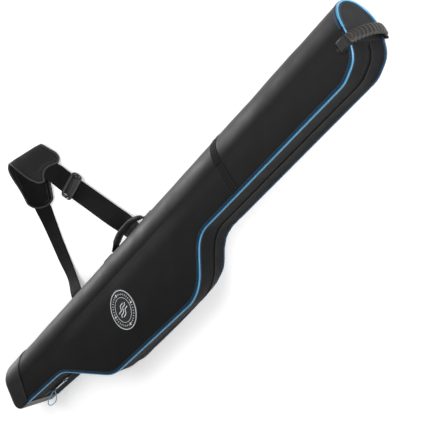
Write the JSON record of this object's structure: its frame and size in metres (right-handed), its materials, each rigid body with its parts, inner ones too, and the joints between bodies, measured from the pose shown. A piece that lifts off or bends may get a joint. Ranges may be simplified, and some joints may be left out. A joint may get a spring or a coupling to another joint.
{
  "type": "rod case",
  "caption": "Long padded soft fishing rod case with a bulge for the reel, zipped opening panel, piped edges, carry handle, end grab handle and padded shoulder strap.",
  "frame": {"origin": "bottom centre of the object's bounding box, on the surface the case lies on", "axes": "+X along the case from the butt end to the top end, +Y to the spine side where the strap and carry handle are, +Z out of the upper side panel; the case lies on its far side panel"},
  "size_m": [1.376, 0.5634, 0.094],
  "materials": {
    "shell_fabric": "coated woven polyester, satin black",
    "gusset_fabric": "dark navy-grey woven fabric",
    "base_leatherette": "black grained coated fabric",
    "piping_cord": "blue covered piping bead",
    "zip_fabric": "woven zip tape",
    "zip_plastic": "black nylon coil",
    "zip_metal": "satin nickel",
    "pull_cord": "pale blue braided cord",
    "cord_rubber": "moulded knot sleeve",
    "webbing": "woven polypropylene webbing",
    "grip_rubber": "ribbed soft rubber",
    "pad_fabric": "padded woven fabric with bound edge",
    "buckle_plastic": "moulded acetal",
    "badge_rubber": "printed plain ring mark",
    "foam": "closed-cell foam",
    "lining_fabric": "brushed nylon lining",
    "board_plastic": "moulded stiffener"
  },
  "bodies": {
    "case": {"base_board": "board_plastic", "base_board_pocket": "lining_fabric", "base_cap": "base_leatherette", "carry_handle_anchor_lower": "webbing", "carry_handle_anchor_upper": "webbing", "carry_handle_tongue_lower": "webbing", "carry_handle_tongue_upper": "webbing", "end_cap": "base_leatherette", "grab_handle_anchor_far": "webbing", "grab_handle_anchor_near": "webbing", "gusset_far": "gusset_fabric", "gusset_near_butt": "gusset_fabric", "gusset_near_top": "gusset_fabric", "lining_fixed": "lining_fabric", "padding_fixed": "foam", "piping_end": "piping_cord", "piping_far": "piping_cord", "piping_near_butt": "piping_cord", "piping_near_top": "piping_cord", "reel_pad": "foam", "reel_section_cover": "shell_fabric", "rod_section_cover": "shell_fabric", "rod_strap_lower": "webbing", "rod_strap_upper": "webbing", "seam_band_spine": "shell_fabric", "strap_tab_lower": "webbing", "strap_tab_upper": "webbing", "zip_coil_far": "zip_plastic", "zip_coil_near_butt": "zip_plastic", "zip_coil_near_top": "zip_plastic", "zip_stop_butt": "zip_metal", "zip_stop_top": "zip_metal", "zip_tape_far": "zip_fabric", "zip_tape_near_butt": "zip_fabric", "zip_tape_near_top": "zip_fabric"},
    "case_panel": {"near_reel_panel": "shell_fabric", "near_rod_panel": "shell_fabric", "gusset_near_flap": "gusset_fabric", "padding_flap": "foam", "lining_flap": "lining_fabric", "seam_band_flap": "shell_fabric", "piping_near_flap": "piping_cord", "zip_tape_near_flap": "zip_fabric", "zip_coil_near_flap": "zip_plastic", "badge": "badge_rubber"},
    "zip_slider_body": {"zip_slider": "zip_metal"},
    "zip_pull": {"zip_puller": "zip_metal", "cord_knot": "cord_rubber", "zip_pull_cord": "pull_cord"},
    "carry_handle": {"carry_handle_webbing": "webbing", "carry_handle_grip": "grip_rubber"},
    "grab_handle": {"grab_handle_webbing": "webbing", "grab_handle_grip": "grip_rubber"},
    "shoulder_strap": {"strap_lower_arm": "webbing", "strap_upper_arm": "webbing", "shoulder_pad": "pad_fabric"},
    "strap_buckle": {"slide_buckle": "buckle_plastic"}
  },
  "joints": [
    {"name": "case_opening", "type": "hinge", "parent": "case", "child": "case_panel", "pos_m": [0.00503, -0.12025, 0.091], "axis": [-1, 0, 0], "range_deg": [0, 50]},
    {"name": "zip_slider_travel", "type": "slide", "parent": "case", "child": "zip_slider_body", "axis": [0.999, -0.0442, 0], "range_m": [-0.04, 0.02]},
    {"name": "zip_puller_swing", "type": "hinge", "parent": "zip_slider_body", "child": "zip_pull", "pos_m": [-0.52513, -0.18325, 0.0455], "axis": [0, 0, 1], "range_deg": [0, 120]},
    {"name": "carry_handle_tilt", "type": "hinge", "parent": "case", "child": "carry_handle", "pos_m": [-0.09697, -0.05645, 0.0455], "axis": [1, 0, 0], "range_deg": [-15, 50]},
    {"name": "grab_handle_tilt", "type": "hinge", "parent": "case", "child": "grab_handle", "pos_m": [0.66553, -0.14245, 0.0455], "axis": [0, 0, 1], "range_deg": [-15, 15]},
    {"name": "shoulder_strap_swing", "type": "hinge", "parent": "case", "child": "shoulder_strap", "pos_m": [-0.23497, -0.06395, 0.0255], "axis": [1, 0, 0], "range_deg": [0, 25]},
    {"name": "strap_buckle_slide", "type": "slide", "parent": "shoulder_strap", "child": "strap_buckle", "axis": [0.511, -0.8596, 0], "range_m": [0, 0.055]}
  ]
}
